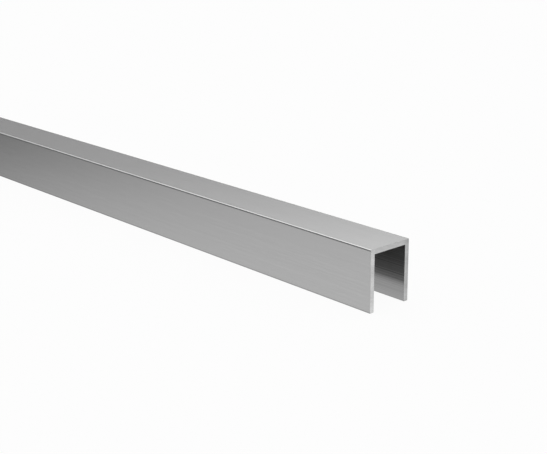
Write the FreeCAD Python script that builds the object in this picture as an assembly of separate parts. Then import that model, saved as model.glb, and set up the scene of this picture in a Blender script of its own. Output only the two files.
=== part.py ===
import FreeCAD, Part
import math
import os

# A straight length of extruded aluminium U-channel, lying legs down with its web on top.
# The bar runs along X, Y is across it and +Z is up. The origin is the middle of the
# footprint, at the level of the feet. All sizes are in millimetres.

# The section: 5/8 inch over the legs, 3/4 inch high, 1/16 inch walls, 1/2 inch groove
overall_width = 15.875
overall_height = 19.05
leg_wall = 1.5875
web_wall = 1.5875

# One cut length of 12 inches, as small channel is sold
stock_length = 304.8

# Radii of the die: crisp outer corners, a sharp root in the groove, and feet that are
# crisp outside and eased inside, where the panel goes in
outer_corner_radius = 0.3
groove_root_radius = 0.15
outer_foot_radius = 0.12
inner_foot_radius = 0.2

# The burr of the saw is taken off all round both cut ends
cut_edge_break = 0.08

# The largest share of a wall that one rounded edge may take, so that two still fit side by side
LARGEST_SHARE_OF_WALL = 0.48

# The largest share of a rounded edge that the broken edge of the cut may take away
LARGEST_SHARE_OF_ROUND = 0.8

# An edge is part of a cut end if it is flatter than this along the bar
FLATNESS = 1e-6


def eased(radius, wall):
    """A radius, limited where two such edges would meet in the middle of a thin wall."""
    return min(radius, LARGEST_SHARE_OF_WALL * wall)


def corner_arc(before, corner, after, radius):
    """The arc that rounds a corner and is tangent to the straights on either side of it."""
    towards_before = (before - corner).normalize()
    towards_after = (after - corner).normalize()
    half_angle = towards_before.getAngle(towards_after) / 2
    setback = radius / math.tan(half_angle)
    inward = (towards_before + towards_after).normalize()
    middle = corner + inward * (radius / math.sin(half_angle) - radius)
    return Part.Arc(
        corner + towards_before * setback, middle, corner + towards_after * setback
    ).toShape()


def rounded_outline(corners, x):
    """A closed wire across the bar at x, through corners given as (y, z, radius)."""
    points = [FreeCAD.Vector(x, y, z) for y, z, _ in corners]
    count = len(points)
    arcs = [
        corner_arc(points[i - 1], points[i], points[(i + 1) % count], corners[i][2])
        for i in range(count)
    ]
    edges = []
    for i, arc in enumerate(arcs):
        following = arcs[(i + 1) % count]
        edges.append(arc)
        edges.append(
            Part.LineSegment(arc.lastVertex(True).Point, following.firstVertex(True).Point).toShape()
        )
    return Part.Wire(edges)


def section_corners():
    """The eight corners of the U, going round it once: up the rear leg and down the front one."""
    half_width = overall_width / 2
    half_groove = half_width - leg_wall
    groove_top = overall_height - web_wall
    rear_half = [
        (half_groove, groove_top, groove_root_radius),
        (half_groove, 0, eased(inner_foot_radius, leg_wall)),
        (half_width, 0, eased(outer_foot_radius, leg_wall)),
        (half_width, overall_height, outer_corner_radius),
    ]
    front_half = [(-y, z, radius) for y, z, radius in reversed(rear_half)]
    return rear_half + front_half


def broken_edge():
    """How wide the saw's burr is broken, less where it would eat up a crisp edge of the section."""
    smallest_round = min(outer_corner_radius, outer_foot_radius, inner_foot_radius)
    wall = min(leg_wall, web_wall)
    return min(eased(cut_edge_break, wall), LARGEST_SHARE_OF_ROUND * eased(smallest_round, wall))


def u_channel():
    """The section drawn at one end of the bar, pushed along the bar, and deburred at both ends."""
    section = Part.Face(rounded_outline(section_corners(), -stock_length / 2))
    bar = section.extrude(FreeCAD.Vector(stock_length, 0, 0))
    cut_edges = [edge for edge in bar.Edges if edge.BoundBox.XLength < FLATNESS]
    deburred = bar.makeChamfer(broken_edge(), cut_edges)
    return deburred.Solids[0]


def main():
    os.makedirs("parts", exist_ok=True)
    channel = u_channel()
    channel.exportStep("parts/u_channel.step")
    box = channel.BoundBox
    print(
        f"u_channel: valid {channel.isValid()}, {len(channel.Faces)} faces, "
        f"{box.XLength:.3f} x {box.YLength:.3f} x {box.ZLength:.3f} mm, "
        f"{channel.Volume:.1f} mm3"
    )


main()
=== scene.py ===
import math

import bpy
from mathutils import Matrix, Vector, geometry, noise


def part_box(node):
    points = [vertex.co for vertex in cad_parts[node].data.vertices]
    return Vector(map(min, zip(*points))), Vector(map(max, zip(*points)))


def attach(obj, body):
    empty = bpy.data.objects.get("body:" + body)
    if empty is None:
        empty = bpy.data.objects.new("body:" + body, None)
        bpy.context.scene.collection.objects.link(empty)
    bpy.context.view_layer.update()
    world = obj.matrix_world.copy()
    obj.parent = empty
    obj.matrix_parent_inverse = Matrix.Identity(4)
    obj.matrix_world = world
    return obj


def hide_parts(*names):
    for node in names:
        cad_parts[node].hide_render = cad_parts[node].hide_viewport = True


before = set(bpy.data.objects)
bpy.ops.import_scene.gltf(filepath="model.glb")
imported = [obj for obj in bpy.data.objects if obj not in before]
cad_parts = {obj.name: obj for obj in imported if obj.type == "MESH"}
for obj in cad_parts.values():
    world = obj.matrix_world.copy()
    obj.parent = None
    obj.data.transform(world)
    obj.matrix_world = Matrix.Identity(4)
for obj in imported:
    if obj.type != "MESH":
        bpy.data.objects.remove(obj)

# The looks of a short length of extruded aluminium U-channel, lying legs down on a pale floor.
# Everything is in metres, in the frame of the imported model: the bar runs along X and +Z is up.

MM = 0.001
ALONG_BAR = (1.0, 0.0, 0.0)

# The section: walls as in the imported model, and rounded edges that are as crisp or crisper
LEG_WALL = 1.5875 * MM
WEB_WALL = 1.5875 * MM
OUTER_CORNER_RADIUS = 0.16 * MM
GROOVE_ROOT_RADIUS = 0.15 * MM
OUTER_FOOT_RADIUS = 0.1 * MM
INNER_FOOT_RADIUS = 0.2 * MM
CUT_EDGE_BREAK = 0.03 * MM

# The brushing belt rolls each leg's face over a little where it meets the outer corner,
# and leaves that face a little dished. A face counts as the leg's where it looks this far sideways.
ROLL_OFF_RADIUS = 1.3 * MM
ROLL_OFF_DEGREES = 18
LEG_DISH = 0.017 * MM
LEG_FACE_SIDEWAYS = 0.999

# How finely the section and the length are drawn, and the angle from which an edge is sharp
DEGREES_PER_STEP = 9
FLAT_STEP = 0.15 * MM
SAME_PLACE = FLAT_STEP / 1000
STATION_COUNT = 56
SHARP_DEGREES = 25

# The shallow lines that the die and the belt leave along the bar, coarse and fine ones together
OUTSIDE_LINE_DEPTH = 0.0008 * MM
INSIDE_LINE_DEPTH = 0.0035 * MM
LINE_LENGTH = 70 * MM
COARSE_LINE_PITCH = 0.7 * MM
COARSE_LINE_SHARE = 0.35
COARSE_LINE_SEED = 0.37
FINE_LINES_PER_COARSE = 2.3
FINE_LINE_SHARE = 0.15
FINE_LINE_SEED = 5.11

# The filed edge round a cut isn't quite even
EDGE_UNEVENNESS = 0.015 * MM
EDGE_UNEVENNESS_PITCH = 0.8 * MM
EDGE_UNEVENNESS_SEED = 9.5

# The saw's marks on the cut ends, which are arcs about the middle of its blade. They wander
# by so many radians. A grid of spots carries them, clear of the cut's edges by a margin.
SAW_BLADE_Y = 30 * MM
SAW_BLADE_Z = 130 * MM
SAW_MARK_DEPTH = 0.0006 * MM
SAW_MARK_PITCH = 0.9 * MM
SAW_WANDER = 3
SAW_WANDER_PITCH = 4 * MM
SAW_GRID_STEP = 0.2 * MM
SAW_GRID_MARGIN = 0.17 * MM

# The ends are filled in millimetres: spots nearer than this are one, and triangles are only
# kept inside the outline, which the number 1 asks for
FILL_MERGE_DISTANCE = 1e-7
FILL_INSIDE_OUTLINE = 1

# The photograph's frame in pixels, and where it shows the middle of the web's edge at the near end
PICTURE_WIDTH = 547
PICTURE_HEIGHT = 454
END_IN_PICTURE_X = 390.30
END_IN_PICTURE_Y = 244.10

# The camera, from a fit to the edges in the photograph
FOCAL_PIXELS = 1119.8
CAMERA_AZIMUTH = math.radians(48.365)
CAMERA_ELEVATION = math.radians(17.273)
CAMERA_ROLL = math.radians(-0.508)
CAMERA_DISTANCE = 316.93 * MM
CAMERA_SEES_FROM = 0.01
CAMERA_SEES_TO = 100
SENSOR_WIDTH_MM = 36.0

# The background, as linear values: how white the camera sees it, how much of that white covers
# the floor's own paper, and the tone of that paper. The floor reaches so many metres each way.
BACKDROP_WHITE = 0.982
FLOOR_WHITENING = 0.97
FLOOR_PAPER = 0.85
FLOOR_REACH = 6.0

# The shade on the floor along the legs, as the metal shows it: its strength and its width.
# In the groove it is in front, and deeper in than these distances from a cut end also behind.
SHADE_IN_GROOVE = 0.72
SHADE_IN_GROOVE_WIDTH = 3.0 * MM
SHADE_DEEP_FROM = 12 * MM
SHADE_DEEP_FULL = 20 * MM
SHADE_OUTSIDE = 0.35
SHADE_OUTSIDE_WIDTH = 1.2 * MM

# The studio that lights the metal, by how far a direction points up (1) or down (-1)
CEILING_LIGHT = 1.25
CEILING_FULL = 0.331
CEILING_FROM = 0.296
ROOM_LIGHT = 0.274
ROOM_FULL = -0.080
ROOM_FROM = -0.100
DARK_BAND_LIGHT = 0.127
GROUND_FROM = -0.187
GROUND_FULL = -0.303
WHITE_GROUND_IN_METAL = 0.730

# The outside finish. A spot is on a corner by its normal's part to the side, times the
# square of its part upwards, and there its tone is raised as a painted highlight.
OUTSIDE_TONE = 0.60
OUTSIDE_ROUGHNESS = 0.2115
OUTSIDE_ANISOTROPY = 0.222
CORNER_FROM = 0.15
CORNER_FULL = 0.36
CORNER_PAINTED_HIGHLIGHT = 0.46

# The outside's brushing: long dark scratches, finer hairlines, and short grain
SCRATCH_PITCH = 0.45 * MM
SCRATCH_LENGTH = 150 * MM
SCRATCH_DETAIL = 3.0
SCRATCH_SEED = 4.4
SCRATCH_FULL = 0.38
SCRATCH_NONE = 0.47
SCRATCH_DARKENING = 0.009
HAIRLINE_PITCH = 0.3 * MM
HAIRLINE_LENGTH = 60 * MM
HAIRLINE_SEED = 2.9
HAIRLINE_STRENGTH = 0.012
GRAIN_PITCH = 0.11 * MM
GRAIN_LENGTH = 7 * MM
GRAIN_SEED = 6.3
GRAIN_STRENGTH = 0.03
GRAIN_IN_ROUGHNESS = 0.05

# The groove's tone is partly its finish and partly painted shade, far darker on the front leg.
# It changes from front to rear over this distance either way.
INSIDE_ROUGHNESS = 0.28
INSIDE_ANISOTROPY = 0.8
INSIDE_FRONT_TONE_AND_PAINTED_SHADE = 0.125
INSIDE_REAR_TONE_AND_PAINTED_SHADE = 0.42
INSIDE_TONE_BLEND = 1 * MM

# The groove's lines, which are bolder above these heights, and hairlines between them
DIE_LINE_PITCH = 0.3 * MM
DIE_LINE_LENGTH = 120 * MM
DIE_LINE_DETAIL = 2.5
DIE_LINE_SEED = 3.7
DIE_LINE_MILD = 0.15
DIE_LINE_BOLD = 0.24
DIE_LINE_BOLD_FROM = 5.0 * MM
DIE_LINE_BOLD_FULL = 7.5 * MM
DIE_HAIRLINE_PITCH = 0.24 * MM
DIE_HAIRLINE_LENGTH = 90 * MM
DIE_HAIRLINE_SEED = 8.1
DIE_HAIRLINE_STRENGTH = 0.08

# The cut ends: tones at the front leg, along the web and at the rear leg, and where they change
END_ROUGHNESS = 0.25
END_TONE_FRONT = 0.83
END_TONE_WEB = 0.757
END_TONE_REAR = 0.605
END_FRONT_Y = -7.3 * MM
END_WEB_Y = -5.5 * MM
END_WEB_TO_Y = 5 * MM
END_REAR_Y = 7.5 * MM

# What varies the cut ends' tone: the saw's marks, its slow level bands, and a mottle
SAW_MARK_STRENGTH = 0.03
SAW_BAND_PITCH = 7.2 * MM
SAW_BAND_START = 7.0 * MM
SAW_BAND_STRENGTH = 0.06
MOTTLE_PITCH = 1.6 * MM
MOTTLE_STRENGTH = 0.03

# The filed edge round a cut
BROKEN_EDGE_TONE = 0.42
BROKEN_EDGE_ROUGHNESS = 0.5

# The values between which most of a noise lies, and the fine detail that streaks have
NOISE_LOW = 0.35
NOISE_HIGH = 0.65
STREAK_DETAIL = 2.0

# The finishes' places in the mesh's list of materials
OUTSIDE, INSIDE, CUT_END, BROKEN_EDGE = range(4)


def main():
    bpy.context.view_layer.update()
    low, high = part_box("u_channel")
    make_camera(Vector((high.x, (low.y + high.y) / 2, high.z)))
    make_world()
    make_floor(high.x, high.y)
    channel = make_channel(low, high)
    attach(channel, "root")
    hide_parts("u_channel")


# The camera

def make_camera(near_end):
    """Sees the near end where the photograph does, from the same side and height."""
    azimuth, elevation, roll = CAMERA_AZIMUTH, CAMERA_ELEVATION, CAMERA_ROLL
    back = Vector((
        math.sin(azimuth) * math.cos(elevation),
        -math.cos(azimuth) * math.cos(elevation),
        math.sin(elevation),
    ))
    level_right = Vector((math.cos(azimuth), math.sin(azimuth), 0))
    level_up = back.cross(level_right)
    right = math.cos(roll) * level_right + math.sin(roll) * level_up
    up = math.cos(roll) * level_up - math.sin(roll) * level_right
    size_of_pixel = CAMERA_DISTANCE / FOCAL_PIXELS
    across = (END_IN_PICTURE_X - PICTURE_WIDTH / 2) * size_of_pixel
    above = (PICTURE_HEIGHT / 2 - END_IN_PICTURE_Y) * size_of_pixel
    eye = near_end + back * CAMERA_DISTANCE - right * across - up * above
    data = bpy.data.cameras.new("camera")
    data.sensor_width = SENSOR_WIDTH_MM
    data.lens = SENSOR_WIDTH_MM * FOCAL_PIXELS / PICTURE_WIDTH
    data.clip_start = CAMERA_SEES_FROM
    data.clip_end = CAMERA_SEES_TO
    camera = bpy.data.objects.new("camera", data)
    rotation = Matrix((right, up, back)).transposed()
    camera.matrix_world = Matrix.Translation(eye) @ rotation.to_4x4()
    bpy.context.scene.collection.objects.link(camera)
    bpy.context.scene.camera = camera
    bpy.context.scene.view_settings.view_transform = "Standard"


# Helpers for node trees

class Nodes:
    """Adds nodes to a tree and joins them, so that each material reads as a few lines."""

    def __init__(self, tree):
        self.tree = tree
        self.tree.nodes.clear()

    def add(self, kind, **settings):
        node = self.tree.nodes.new(kind)
        for name, value in settings.items():
            setattr(node, name, value)
        return node

    def set(self, socket, value):
        """Joins a socket to an output, or writes a plain value on it."""
        if isinstance(value, bpy.types.NodeSocket):
            self.tree.links.new(value, socket)
        else:
            socket.default_value = value

    def math(self, operation, *values):
        node = self.add("ShaderNodeMath", operation=operation)
        for socket, value in zip(node.inputs, values):
            self.set(socket, value)
        return node.outputs[0]

    def vector(self, operation, *values):
        node = self.add("ShaderNodeVectorMath", operation=operation)
        for socket, value in zip(node.inputs, values):
            self.set(socket, value)
        return node.outputs[0]

    def ramp(self, value, low, high, out_low, out_high, kind="SMOOTHSTEP"):
        """Takes value from low to high, and gives out_low to out_high."""
        node = self.add("ShaderNodeMapRange", interpolation_type=kind)
        for socket, number in zip(node.inputs, (value, low, high, out_low, out_high)):
            self.set(socket, number)
        return node.outputs[0]

    def part(self, vector, axis):
        node = self.add("ShaderNodeSeparateXYZ")
        self.set(node.inputs[0], vector)
        return node.outputs[axis]

    def mix_shader(self, share, first, second):
        node = self.add("ShaderNodeMixShader")
        for socket, value in zip(node.inputs, (share, first, second)):
            self.set(socket, value)
        return node.outputs[0]

    def streaks(self, pitch, length, seed, detail=STREAK_DETAIL):
        """Grey streaks along the bar, from 0 to 1, that are pitch wide and length long."""
        place = self.add("ShaderNodeTexCoord").outputs["Object"]
        stretched = self.vector("MULTIPLY", place, (1 / length, 1 / pitch, 1 / pitch))
        moved = self.vector("ADD", stretched, (seed, seed, seed))
        node = self.add("ShaderNodeTexNoise")
        self.set(node.inputs["Vector"], moved)
        self.set(node.inputs["Scale"], 1.0)
        self.set(node.inputs["Detail"], detail)
        return node.outputs[0]


def grey(nodes, value):
    """A grey colour from a number."""
    node = nodes.add("ShaderNodeCombineColor")
    for socket in node.inputs:
        nodes.set(socket, value)
    return node.outputs[0]


def scaled(nodes, *factors):
    """The product of several numbers."""
    product = factors[0]
    for factor in factors[1:]:
        product = nodes.math("MULTIPLY", product, factor)
    return product


def varied(nodes, value, amount, low=NOISE_LOW, high=NOISE_HIGH):
    """A factor near 1 that follows a value, by so much either way."""
    return nodes.ramp(value, low, high, 1.0 - amount, 1.0 + amount, "LINEAR")


# The studio

def make_world():
    """A plain studio by height: a bright ceiling, a dim room and a white ground.

    The camera and clear things see a white backdrop all round. Metal sees it below the horizon.
    """
    world = bpy.data.worlds.new("studio")
    bpy.context.scene.world = world
    world.use_nodes = True
    nodes = Nodes(world.node_tree)
    up = nodes.part(nodes.add("ShaderNodeTexCoord").outputs["Generated"], "Z")
    room = nodes.ramp(up, ROOM_FROM, ROOM_FULL, DARK_BAND_LIGHT, ROOM_LIGHT)
    studio = nodes.ramp(up, CEILING_FROM, CEILING_FULL, room, CEILING_LIGHT)
    ground = nodes.ramp(up, GROUND_FULL, GROUND_FROM, WHITE_GROUND_IN_METAL, 0.0)
    rays = nodes.add("ShaderNodeLightPath").outputs
    in_metal = nodes.math("MULTIPLY", rays["Is Glossy Ray"], ground)
    straight = nodes.math("MAXIMUM", rays["Is Camera Ray"], rays["Is Transmission Ray"])
    share = nodes.math("MAXIMUM", straight, in_metal)
    light = nodes.add("ShaderNodeBackground")
    nodes.set(light.inputs["Strength"], studio)
    backdrop = nodes.add("ShaderNodeBackground")
    nodes.set(backdrop.inputs["Strength"], BACKDROP_WHITE)
    for background in (light, backdrop):
        nodes.set(background.inputs["Color"], (1, 1, 1, 1))
    seen = nodes.mix_shader(share, light.outputs[0], backdrop.outputs[0])
    output = nodes.add("ShaderNodeOutputWorld")
    nodes.set(output.inputs["Surface"], seen)


def make_floor(half_length, half_width):
    """A wide pale floor with the bar's faint soft shadow.

    The camera sees it nearly white. Metal sees the world's white ground through it, less the
    shade that lies along the legs.
    """
    reach = FLOOR_REACH
    corners = [(-reach, -reach, 0), (reach, -reach, 0), (reach, reach, 0), (-reach, reach, 0)]
    mesh = bpy.data.meshes.new("floor")
    mesh.from_pydata(corners, [], [(0, 1, 2, 3)])
    floor = bpy.data.objects.new("floor", mesh)
    bpy.context.scene.collection.objects.link(floor)

    material = bpy.data.materials.new("pale_floor")
    material.use_nodes = True
    nodes = Nodes(material.node_tree)
    paper = nodes.add("ShaderNodeBsdfDiffuse")
    nodes.set(paper.inputs["Color"], (FLOOR_PAPER, FLOOR_PAPER, FLOOR_PAPER, 1))
    white = nodes.add("ShaderNodeEmission")
    nodes.set(white.inputs["Color"], (1, 1, 1, 1))
    nodes.set(white.inputs["Strength"], BACKDROP_WHITE)
    seen_through = nodes.add("ShaderNodeBsdfTransparent")
    light = light_left(nodes, half_length, half_width)
    nodes.set(seen_through.inputs["Color"], grey(nodes, light))
    rays = nodes.add("ShaderNodeLightPath").outputs
    straight = nodes.math("MAXIMUM", rays["Is Camera Ray"], rays["Is Transmission Ray"])
    share = nodes.math("MULTIPLY", straight, FLOOR_WHITENING)
    plain = nodes.mix_shader(share, paper.outputs[0], white.outputs[0])
    seen = nodes.mix_shader(rays["Is Glossy Ray"], plain, seen_through.outputs[0])
    output = nodes.add("ShaderNodeOutputMaterial")
    nodes.set(output.inputs["Surface"], seen)
    mesh.materials.append(material)


def light_left(nodes, half_length, half_width):
    """How much light the floor keeps: 1 in the open, and less in the shade along the legs."""
    place = nodes.add("ShaderNodeTexCoord").outputs["Object"]
    y = nodes.part(place, "Y")
    from_middle = nodes.math("ABSOLUTE", y)
    depth = nodes.math("SUBTRACT", half_length, nodes.math("ABSOLUTE", nodes.part(place, "X")))
    half_groove = half_width - LEG_WALL
    inner = half_groove - SHADE_IN_GROOVE_WIDTH
    outer = half_width + SHADE_OUTSIDE_WIDTH
    in_front = nodes.ramp(y, -half_groove, -inner, SHADE_IN_GROOVE, 0.0)
    behind = nodes.ramp(y, inner, half_groove, 0.0, SHADE_IN_GROOVE)
    deep = nodes.ramp(depth, SHADE_DEEP_FROM, SHADE_DEEP_FULL, 0.0, 1.0)
    in_groove = nodes.math("ADD", in_front, scaled(nodes, behind, deep))
    outside = nodes.ramp(from_middle, half_width, outer, SHADE_OUTSIDE, 0.0)
    is_outside = nodes.math("GREATER_THAN", from_middle, half_width - LEG_WALL / 2)
    shade = nodes.ramp(is_outside, 0.0, 1.0, in_groove, outside, "LINEAR")
    under_bar = nodes.math("GREATER_THAN", depth, 0.0)
    return nodes.math("SUBTRACT", 1.0, scaled(nodes, shade, under_bar))


# The channel's shape

class SectionPath:
    """Draws a section as straight runs and bends, in small steps.

    Each point is kept with the direction that points out of the metal and the finish it gets.
    """

    def __init__(self, place, heading, finish):
        self.place = Vector(place)
        self.heading = Vector(heading)
        self.finish = finish
        self.points = []

    def keep(self):
        outward = Vector((-self.heading.y, self.heading.x))
        self.points.append((self.place.copy(), outward, self.finish))

    def run(self, length):
        """Goes straight on, and keeps the points between the two ends."""
        start = self.place.copy()
        steps = max(2, round(length / FLAT_STEP))
        for step in range(1, steps):
            self.place = start + self.heading * length * step / steps
            self.keep()
        self.place = start + self.heading * length

    def bend(self, radius, degrees):
        """Turns right by so many degrees, or left if they are negative, and keeps every point."""
        turn = -math.radians(degrees)
        side = Vector((-self.heading.y, self.heading.x)) * math.copysign(1, turn)
        centre = self.place + side * radius
        spoke = self.place - centre
        heading = self.heading.copy()
        steps = max(2, math.ceil(abs(degrees) / DEGREES_PER_STEP))
        for step in range(steps + 1):
            rotation = Matrix.Rotation(turn * step / steps, 2)
            self.place = centre + rotation @ spoke
            self.heading = (rotation @ heading).normalized()
            if step or not self.points or self.has_moved():
                self.keep()

    def has_moved(self):
        return (self.points[-1][0] - self.place).length > SAME_PLACE


def half_section(low, high):
    """From the middle of the web's top, round one leg, to the middle of the web's underside."""
    half_width = (high.y - low.y) / 2
    height = high.z - low.z
    half_groove = half_width - LEG_WALL
    main_degrees = 90 - ROLL_OFF_DEGREES
    sine = math.sin(math.radians(main_degrees))
    cosine = math.cos(math.radians(main_degrees))
    corner_across = OUTER_CORNER_RADIUS * sine + ROLL_OFF_RADIUS * (1 - sine)
    corner_down = OUTER_CORNER_RADIUS * (1 - cosine) + ROLL_OFF_RADIUS * cosine
    path = SectionPath((0, high.z), (1, 0), OUTSIDE)
    path.keep()
    path.run(half_width - corner_across)
    path.bend(OUTER_CORNER_RADIUS, main_degrees)
    path.bend(ROLL_OFF_RADIUS, ROLL_OFF_DEGREES)
    path.run(height - corner_down - OUTER_FOOT_RADIUS)
    path.bend(OUTER_FOOT_RADIUS, 90)
    path.run(LEG_WALL - OUTER_FOOT_RADIUS - INNER_FOOT_RADIUS)
    path.finish = INSIDE
    path.bend(INNER_FOOT_RADIUS, 90)
    path.run(height - WEB_WALL - INNER_FOOT_RADIUS - GROOVE_ROOT_RADIUS)
    path.bend(GROOVE_ROOT_RADIUS, -90)
    path.run(half_groove - GROOVE_ROOT_RADIUS)
    path.keep()
    return path.points


def whole_section(low, high):
    """The half section and its mirror image, as one closed ring of points."""
    half = half_section(low, high)
    mirrored = [
        (Vector((-place.x, place.y)), Vector((-outward.x, outward.y)), finish)
        for place, outward, finish in reversed(half[1:-1])
    ]
    return half + mirrored


def line_relief(x, way, finish):
    """How deep the lines along the bar are, so far round the section: half-way on average."""
    depth = INSIDE_LINE_DEPTH if finish == INSIDE else OUTSIDE_LINE_DEPTH
    along = x / LINE_LENGTH
    across = way / COARSE_LINE_PITCH
    coarse = noise.noise(Vector((along, across, COARSE_LINE_SEED)))
    fine = noise.noise(Vector((along, FINE_LINES_PER_COARSE * across, FINE_LINE_SEED)))
    return depth * (0.5 + COARSE_LINE_SHARE * coarse + FINE_LINE_SHARE * fine)


def channel_rings(outline, low, high):
    """Rings of points across the bar: one cut edge, the stations along it, the other cut edge."""
    ways = [0.0]
    for first, second in zip(outline, outline[1:]):
        ways.append(ways[-1] + (second[0] - first[0]).length)
    height = high.z - low.z
    start = low.x + CUT_EDGE_BREAK
    reach = high.x - low.x - 2 * CUT_EDGE_BREAK
    stations = [start + reach * step / STATION_COUNT for step in range(STATION_COUNT + 1)]
    rings = []
    for x in [low.x] + stations + [high.x]:
        ring = []
        for (place, outward, finish), way in zip(outline, ways):
            inset = line_relief(x, way, finish)
            if finish == OUTSIDE and abs(outward.x) > LEG_FACE_SIDEWAYS:
                # Deepest half-way up, and nothing at the foot and at the corner
                inset += LEG_DISH * 4 * place.y * (height - place.y) / height ** 2
            if x in (low.x, high.x):
                spot = Vector((x, way / EDGE_UNEVENNESS_PITCH, EDGE_UNEVENNESS_SEED))
                inset += CUT_EDGE_BREAK + EDGE_UNEVENNESS * max(0.0, noise.noise(spot))
            moved = place - outward * inset
            ring.append((x, moved.x, moved.y))
        rings.append(ring)
    return rings


def inside_metal(y, z, low, high, margin):
    """Whether a spot of the section lies in the metal, at least margin from its edges."""
    side = (high.y - low.y) / 2 - abs(y)
    top = high.z - z
    if min(side, top, z - low.z) < margin:
        return False
    radius = OUTER_CORNER_RADIUS
    in_corner = side < radius and top < radius
    if in_corner and math.hypot(radius - side, radius - top) > radius - margin:
        return False
    return side < LEG_WALL - margin or top < WEB_WALL - margin


def saw_grid(low, high):
    """Spots all over the cut end, clear of its edges."""
    rows = round((high.z - low.z) / SAW_GRID_STEP)
    columns = round((high.y - low.y) / SAW_GRID_STEP)
    spots = []
    for row in range(1, rows):
        for column in range(1, columns):
            y = low.y + column * SAW_GRID_STEP
            z = low.z + row * SAW_GRID_STEP
            if inside_metal(y, z, low, high, SAW_GRID_MARGIN):
                spots.append((y, z))
    return spots


def saw_relief(y, z, seed):
    """How deep the saw's marks are at a spot of a cut end."""
    way = math.hypot(y - SAW_BLADE_Y, z - SAW_BLADE_Z)
    wander = noise.noise(Vector((y / SAW_WANDER_PITCH, z / SAW_WANDER_PITCH, seed)))
    wave = math.sin(2 * math.pi * way / SAW_MARK_PITCH + SAW_WANDER * wander)
    return SAW_MARK_DEPTH * (1 + wave) / 2


def close_end(points, faces, ring_start, count, x, inward, low, high):
    """Fills one cut end with small triangles that carry the saw's marks."""
    edge = [points[ring_start + i] for i in range(count)]
    spots = [Vector((y / MM, z / MM)) for _, y, z in edge]
    spots += [Vector((y / MM, z / MM)) for y, z in saw_grid(low, high)]
    outline = list(range(count))
    filled = geometry.delaunay_2d_cdt(
        spots, [], [outline], FILL_INSIDE_OUTLINE, FILL_MERGE_DISTANCE
    )
    numbers = []
    for place, sources in zip(filled[0], filled[3]):
        if sources and sources[0] < count:
            numbers.append(ring_start + sources[0])
        else:
            y, z = place.x * MM, place.y * MM
            numbers.append(len(points))
            points.append((x + inward * saw_relief(y, z, x), y, z))
    for triangle in filled[2]:
        face = [numbers[i] for i in triangle]
        a, b, c = (Vector(points[i]) for i in face)
        if (b - a).cross(c - a).x * inward > 0:
            face.reverse()
        faces.append(tuple(face))


def make_channel(low, high):
    """The bar's own skin: its section swept along it, with cut ends."""
    outline = whole_section(low, high)
    rings = channel_rings(outline, low, high)
    count = len(outline)
    points = [point for ring in rings for point in ring]
    faces = []
    finishes = []
    for number in range(len(rings) - 1):
        broken = number in (0, len(rings) - 2)
        first, second = number * count, (number + 1) * count
        for i in range(count):
            j = (i + 1) % count
            faces.append((first + i, first + j, second + j, second + i))
            inside = outline[i][2] == INSIDE and outline[j][2] == INSIDE
            finishes.append(BROKEN_EDGE if broken else INSIDE if inside else OUTSIDE)
    close_end(points, faces, 0, count, low.x, 1, low, high)
    close_end(points, faces, (len(rings) - 1) * count, count, high.x, -1, low, high)
    finishes += [CUT_END] * (len(faces) - len(finishes))
    mesh = bpy.data.meshes.new("brushed_channel")
    mesh.from_pydata(points, [], faces)
    for material in (brushed_outside(), inside_finish_and_painted_shade(), sawn_end(), broken_edge()):
        mesh.materials.append(material)
    mesh.polygons.foreach_set("material_index", finishes)
    mesh.polygons.foreach_set("use_smooth", [True] * len(faces))
    mesh.set_sharp_from_angle(angle=math.radians(SHARP_DEGREES))
    mesh.update()
    channel = bpy.data.objects.new("brushed_channel", mesh)
    bpy.context.scene.collection.objects.link(channel)
    return channel


# The channel's finishes

def start_metal(name, roughness, anisotropic):
    """A metal material, with its nodes and its shader, for one finish."""
    material = bpy.data.materials.new(name)
    material.use_nodes = True
    nodes = Nodes(material.node_tree)
    metal = nodes.add("ShaderNodeBsdfPrincipled")
    nodes.set(metal.inputs["Metallic"], 1.0)
    nodes.set(metal.inputs["Roughness"], roughness)
    nodes.set(metal.inputs["Anisotropic"], anisotropic)
    output = nodes.add("ShaderNodeOutputMaterial")
    nodes.set(output.inputs["Surface"], metal.outputs[0])
    return material, nodes, metal


def spread_across(nodes, metal, direction):
    """Spreads the metal's reflections at right angles to a direction that lies in its surface."""
    normal = nodes.add("ShaderNodeNewGeometry").outputs["Normal"]
    across = nodes.vector("NORMALIZE", nodes.vector("CROSS_PRODUCT", normal, direction))
    nodes.set(metal.inputs["Tangent"], across)


def spread_along(nodes, metal, direction):
    """Spreads the metal's reflections along a direction that lies in its surface.

    The direction comes through a node because the shader only reads a joined tangent.
    """
    along = nodes.add("ShaderNodeCombineXYZ")
    for socket, value in zip(along.inputs, direction):
        nodes.set(socket, value)
    nodes.set(metal.inputs["Tangent"], along.outputs[0])


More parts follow.
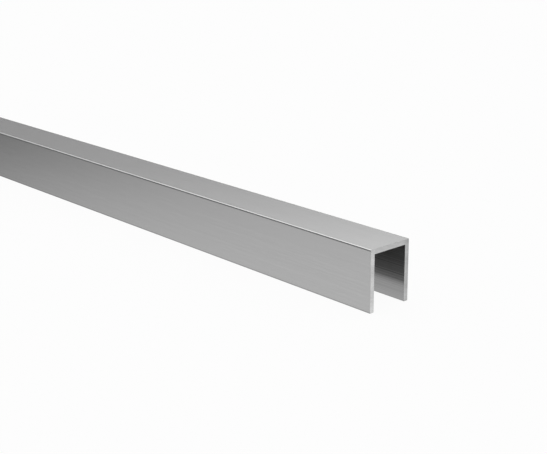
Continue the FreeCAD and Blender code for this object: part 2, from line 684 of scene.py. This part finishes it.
def brushed_outside():
    """Satin brushing along the bar, with a painted highlight that brightens the outer corners."""
    material, nodes, metal = start_metal(
        "brushed_aluminium", OUTSIDE_ROUGHNESS, OUTSIDE_ANISOTROPY
    )
    spread_across(nodes, metal, ALONG_BAR)
    normal = nodes.add("ShaderNodeNewGeometry").outputs["Normal"]
    sideways = nodes.math("ABSOLUTE", nodes.part(normal, "Y"))
    upward = nodes.part(normal, "Z")
    corner = scaled(nodes, sideways, upward, upward)
    # Painted highlight: the tone is raised where the normal points up and sideways, on the upper
    # outer corners
    painted_highlight = nodes.ramp(corner, CORNER_FROM, CORNER_FULL, 1.0, 1.0 + CORNER_PAINTED_HIGHLIGHT)
    scratch = nodes.streaks(SCRATCH_PITCH, SCRATCH_LENGTH, SCRATCH_SEED, SCRATCH_DETAIL)
    scratches = nodes.ramp(scratch, SCRATCH_FULL, SCRATCH_NONE, 1.0 - SCRATCH_DARKENING, 1.0)
    hairline = nodes.streaks(HAIRLINE_PITCH, HAIRLINE_LENGTH, HAIRLINE_SEED)
    hairlines = varied(nodes, hairline, HAIRLINE_STRENGTH)
    grain = nodes.streaks(GRAIN_PITCH, GRAIN_LENGTH, GRAIN_SEED)
    grains = varied(nodes, grain, GRAIN_STRENGTH)
    tone = scaled(nodes, scratches, hairlines, grains, painted_highlight, OUTSIDE_TONE)
    nodes.set(metal.inputs["Base Color"], grey(nodes, tone))
    roughness = scaled(nodes, varied(nodes, grain, GRAIN_IN_ROUGHNESS), OUTSIDE_ROUGHNESS)
    nodes.set(metal.inputs["Roughness"], roughness)
    return material


def inside_finish_and_painted_shade():
    """The groove as it leaves the die, darkened by painted shade, most on the front leg,
    with lines along it that are bolder towards the web.

    Its reflections spread along the bar, so that up and down they stay crisp.
    """
    material, nodes, metal = start_metal(
        "mill_finish_and_painted_shade_inside", INSIDE_ROUGHNESS, INSIDE_ANISOTROPY
    )
    spread_along(nodes, metal, ALONG_BAR)
    place = nodes.add("ShaderNodeTexCoord").outputs["Object"]
    y, z = nodes.part(place, "Y"), nodes.part(place, "Z")
    blend = INSIDE_TONE_BLEND
    # Painted shade: the front leg's inner face is much darker than the rear's, and both are darker
    # than the outside
    side = nodes.ramp(y, -blend, blend, INSIDE_FRONT_TONE_AND_PAINTED_SHADE, INSIDE_REAR_TONE_AND_PAINTED_SHADE)
    line = nodes.streaks(DIE_LINE_PITCH, DIE_LINE_LENGTH, DIE_LINE_SEED, DIE_LINE_DETAIL)
    mild = varied(nodes, line, DIE_LINE_MILD)
    bold = varied(nodes, line, DIE_LINE_BOLD)
    lines = nodes.ramp(z, DIE_LINE_BOLD_FROM, DIE_LINE_BOLD_FULL, mild, bold)
    hairline = nodes.streaks(DIE_HAIRLINE_PITCH, DIE_HAIRLINE_LENGTH, DIE_HAIRLINE_SEED)
    hairlines = varied(nodes, hairline, DIE_HAIRLINE_STRENGTH)
    nodes.set(metal.inputs["Base Color"], grey(nodes, scaled(nodes, side, lines, hairlines)))
    return material


def sawn_end():
    """A fine saw cut, brighter at the front, with marks that follow the blade's path."""
    material, nodes, metal = start_metal("sawn_end", END_ROUGHNESS, 0.0)
    place = nodes.add("ShaderNodeTexCoord").outputs["Object"]
    y, z = nodes.part(place, "Y"), nodes.part(place, "Z")
    front = nodes.ramp(y, END_FRONT_Y, END_WEB_Y, END_TONE_FRONT, END_TONE_WEB)
    side = nodes.ramp(y, END_WEB_TO_Y, END_REAR_Y, front, END_TONE_REAR)
    marks = varied(nodes, saw_marks(nodes, y, z), SAW_MARK_STRENGTH)
    bands = varied(nodes, saw_bands(nodes, z), SAW_BAND_STRENGTH, -1.0, 1.0)
    mottle = nodes.add("ShaderNodeTexNoise")
    nodes.set(mottle.inputs["Vector"], place)
    nodes.set(mottle.inputs["Scale"], 1 / MOTTLE_PITCH)
    mottled = varied(nodes, mottle.outputs[0], MOTTLE_STRENGTH)
    nodes.set(metal.inputs["Base Color"], grey(nodes, scaled(nodes, side, bands, marks, mottled)))
    return material


def saw_marks(nodes, y, z):
    """A noise that only depends on the distance from the middle of the blade."""
    from_blade = nodes.add("ShaderNodeCombineXYZ")
    nodes.set(from_blade.inputs["Y"], nodes.math("SUBTRACT", y, SAW_BLADE_Y))
    nodes.set(from_blade.inputs["Z"], nodes.math("SUBTRACT", z, SAW_BLADE_Z))
    way = nodes.add("ShaderNodeVectorMath", operation="LENGTH")
    nodes.set(way.inputs[0], from_blade.outputs[0])
    marks = nodes.add("ShaderNodeTexNoise", noise_dimensions="1D")
    nodes.set(marks.inputs["W"], way.outputs["Value"])
    nodes.set(marks.inputs["Scale"], 1 / SAW_MARK_PITCH)
    return marks.outputs[0]


def saw_bands(nodes, z):
    """A slow wave by height, from -1 to 1."""
    above_start = nodes.math("SUBTRACT", z, SAW_BAND_START)
    return nodes.math("SINE", scaled(nodes, above_start, 2 * math.pi / SAW_BAND_PITCH))


def broken_edge():
    """The narrow edge round a cut, filed dull."""
    material, nodes, metal = start_metal("broken_edge", BROKEN_EDGE_ROUGHNESS, 0.0)
    tone = BROKEN_EDGE_TONE
    nodes.set(metal.inputs["Base Color"], (tone, tone, tone, 1))
    return material


main()
